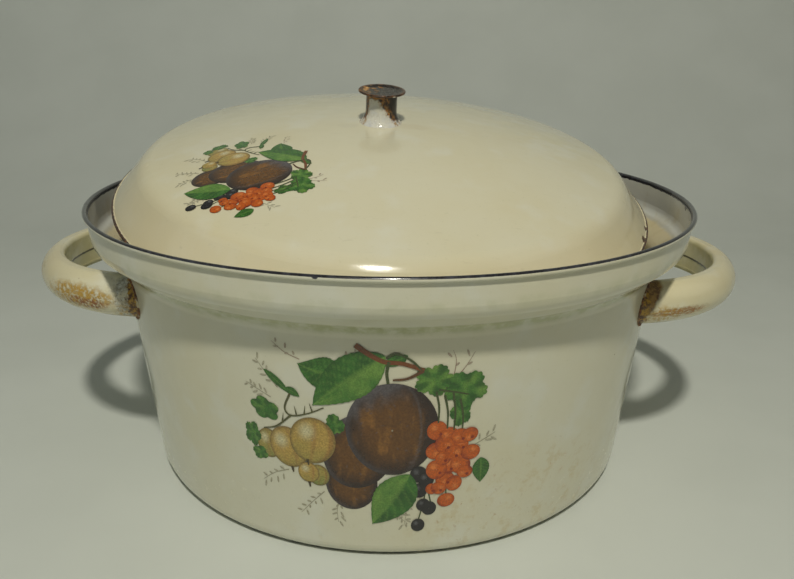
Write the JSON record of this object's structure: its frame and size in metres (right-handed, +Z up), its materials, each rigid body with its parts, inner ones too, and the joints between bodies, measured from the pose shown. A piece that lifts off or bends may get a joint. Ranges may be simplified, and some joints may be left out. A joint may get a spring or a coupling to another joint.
{
  "type": "water bath canner",
  "caption": "Wide enamelled steel stockpot for water bath canning with a flared rim, loop side handles, an inset domed lid with a spool knob, and a wire jar rack inside.",
  "frame": {"origin": "centre of the pot's flat base, on the surface that it stands on, which is also the bottom centre of the bounding box", "axes": "+Z up, X from one side handle to the other, -Y the front of the pot with the large fruit picture"},
  "size_m": [0.435, 0.3612, 0.2234],
  "materials": {
    "pot_enamel": "cream vitreous enamel on pressed steel, dark enamel on the rolled rim",
    "handle_enamel": "cream vitreous enamel, chipped and rusted at the roots",
    "strip_enamel": "cream vitreous enamel, stained along the seam",
    "lid_enamel": "cream vitreous enamel with a dark edge",
    "knob_enamel": "dark ground enamel where the cream enamel has chipped off, rusted",
    "knob_steel": "dark ground enamel, rusted in patches",
    "rivet_steel": "plain steel, dull",
    "rack_wire": "plated round wire, welded at the crossings",
    "bail_wire": "plated round wire, bent"
  },
  "bodies": {
    "pot": {"pot_body": "pot_enamel", "handle_left_shell": "handle_enamel", "handle_left_strip": "strip_enamel", "handle_right_shell": "handle_enamel", "handle_right_strip": "strip_enamel"},
    "lid": {"lid_dome": "lid_enamel", "lid_knob_stem": "knob_enamel", "lid_knob_cap": "knob_steel", "lid_knob_rivet": "rivet_steel"},
    "rack": {"rack_base_hoop": "rack_wire", "rack_top_hoop": "rack_wire", "rack_hub_hoop": "rack_wire", "rack_posts": "rack_wire", "rack_cross_wires": "rack_wire", "rack_stiffeners": "rack_wire", "rack_spokes": "rack_wire", "rack_bail_eyes": "rack_wire"},
    "bail": {"rack_bail": "bail_wire"}
  },
  "joints": [
    {"name": "rack_lift", "type": "slide", "parent": "pot", "child": "rack", "axis": [0, 0, 1], "range_m": [0, 0.18]},
    {"name": "lid_lift", "type": "slide", "parent": "rack", "child": "lid", "axis": [0, 0, 1], "range_m": [0, 0.25]},
    {"name": "bail_fold", "type": "hinge", "parent": "rack", "child": "bail", "pos_m": [0, 0, 0.0759], "axis": [-1, 0, 0], "range_deg": [0, 81]}
  ]
}
